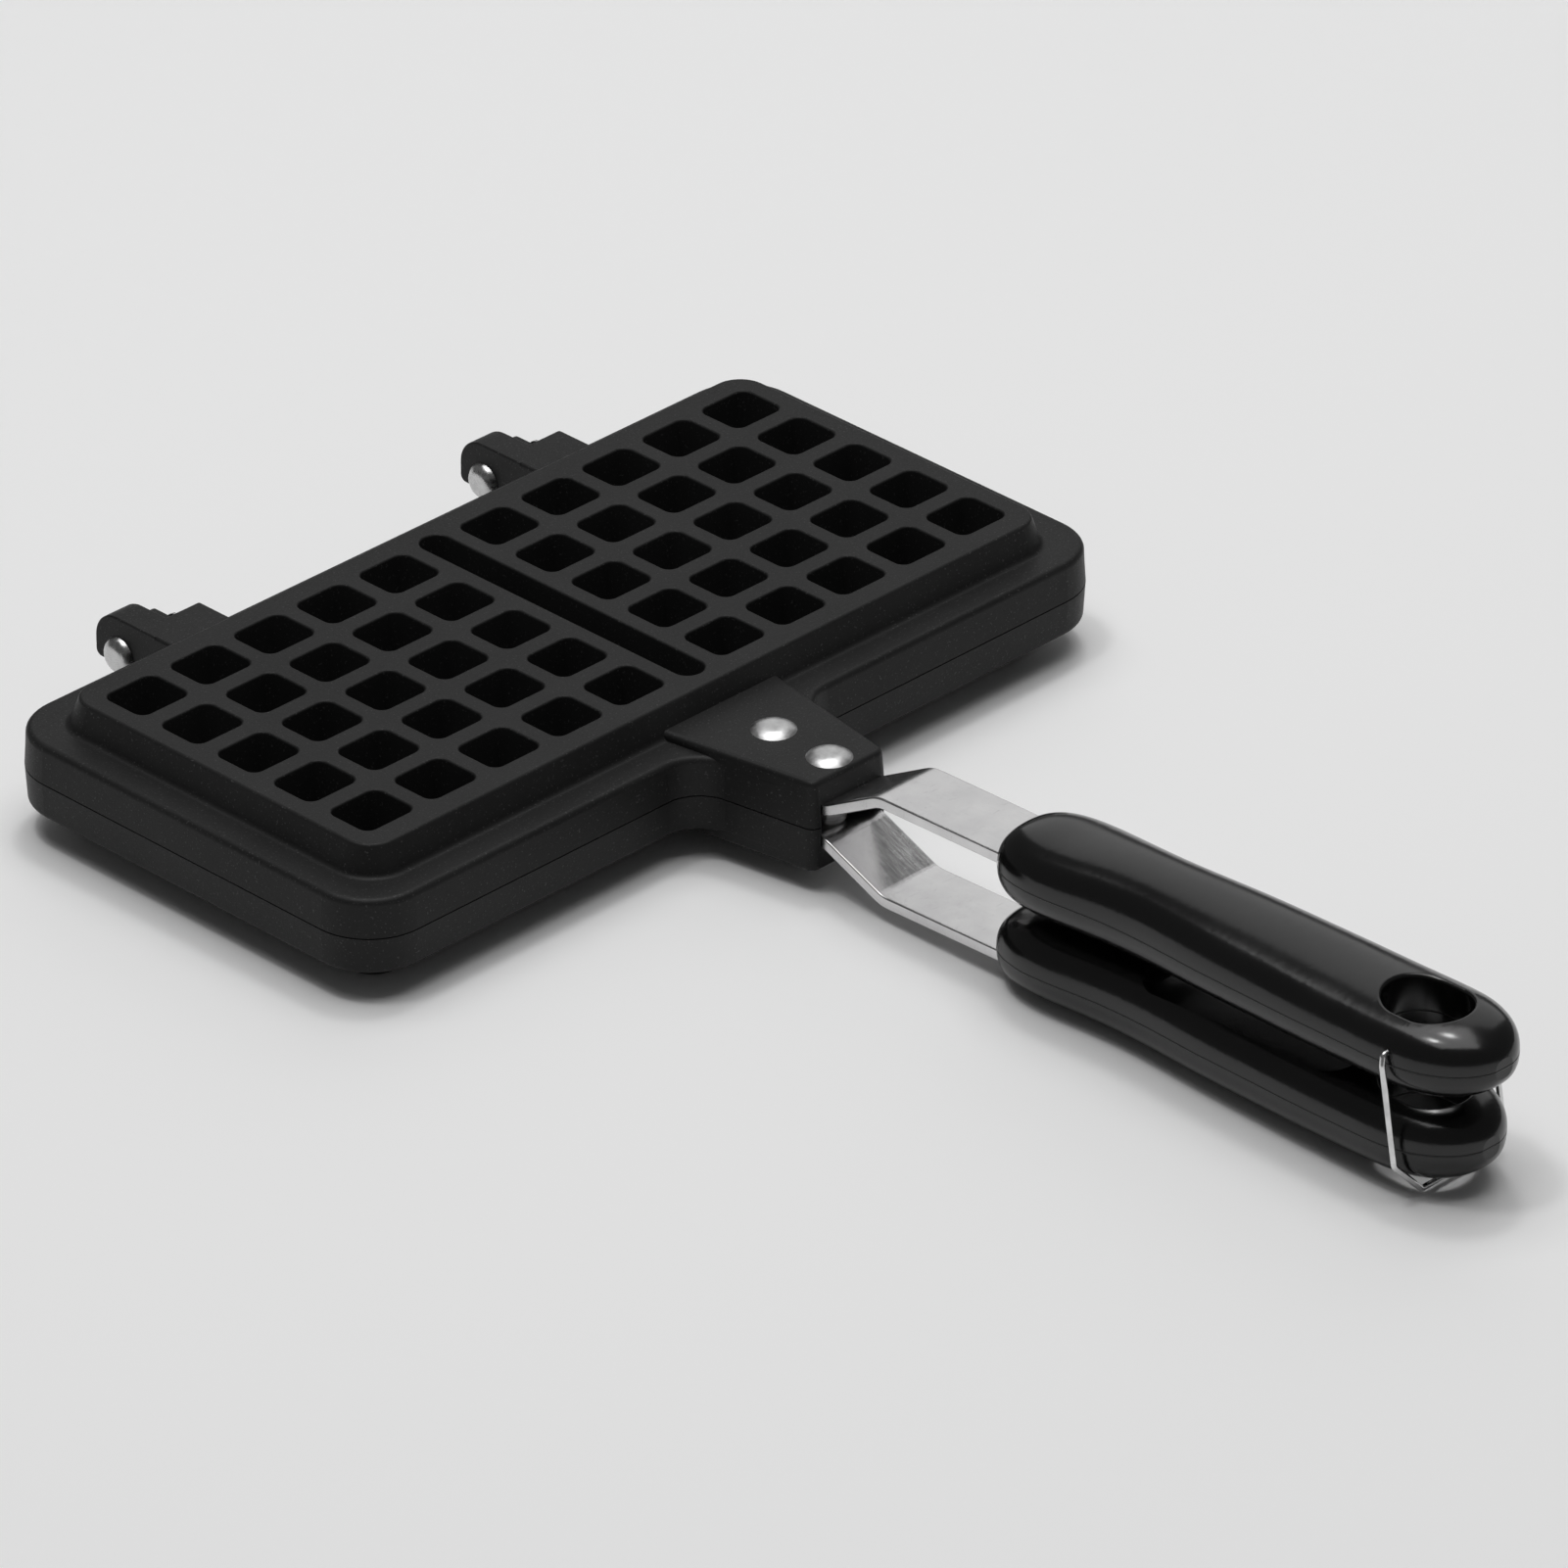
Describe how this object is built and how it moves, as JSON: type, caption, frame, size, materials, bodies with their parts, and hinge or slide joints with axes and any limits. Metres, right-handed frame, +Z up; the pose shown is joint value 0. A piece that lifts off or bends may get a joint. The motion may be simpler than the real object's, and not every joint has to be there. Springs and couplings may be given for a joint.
{
  "type": "waffle pan",
  "caption": "Hinged double-sided stovetop waffle pan with ribbed black castings, black grips on steel straps and a wire bail that holds the grips together.",
  "frame": {"origin": "bottom centre of the whole closed pan, on the surface that it rests on", "axes": "+Y from the grips towards the hinges, +Z up out of the upper casting, +X to the right seen from the grips"},
  "size_m": [0.236, 0.3698, 0.0418],
  "materials": {
    "nonstick_casting": "cast aluminium with a matte black non-stick coating",
    "strap_steel": "satin stainless steel strip, lightly scratched",
    "rivet_aluminium": "bare bright aluminium",
    "grip_phenolic": "glossy black phenolic moulding",
    "bail_wire": "bright drawn spring wire"
  },
  "bodies": {
    "lower": {"lower_plate": "nonstick_casting", "lower_strap": "strap_steel", "lower_front_rivet": "rivet_aluminium", "lower_rear_rivet": "rivet_aluminium", "lower_handle": "grip_phenolic", "left_hinge_pin": "rivet_aluminium", "right_hinge_pin": "rivet_aluminium"},
    "upper": {"upper_plate": "nonstick_casting", "upper_strap": "strap_steel", "upper_front_rivet": "rivet_aluminium", "upper_rear_rivet": "rivet_aluminium", "upper_handle": "grip_phenolic"},
    "bail": {"wire_bail": "bail_wire"}
  },
  "joints": [
    {"name": "plate_hinge", "type": "hinge", "parent": "lower", "child": "upper", "pos_m": [0, 0.17695, 0.01667], "axis": [-1, 0, 0], "range_deg": [0, 120]},
    {"name": "bail_swing", "type": "hinge", "parent": "upper", "child": "bail", "pos_m": [0, -0.16495, 0.03527], "axis": [-1, 0, 0], "range_deg": [0, 180]}
  ]
}
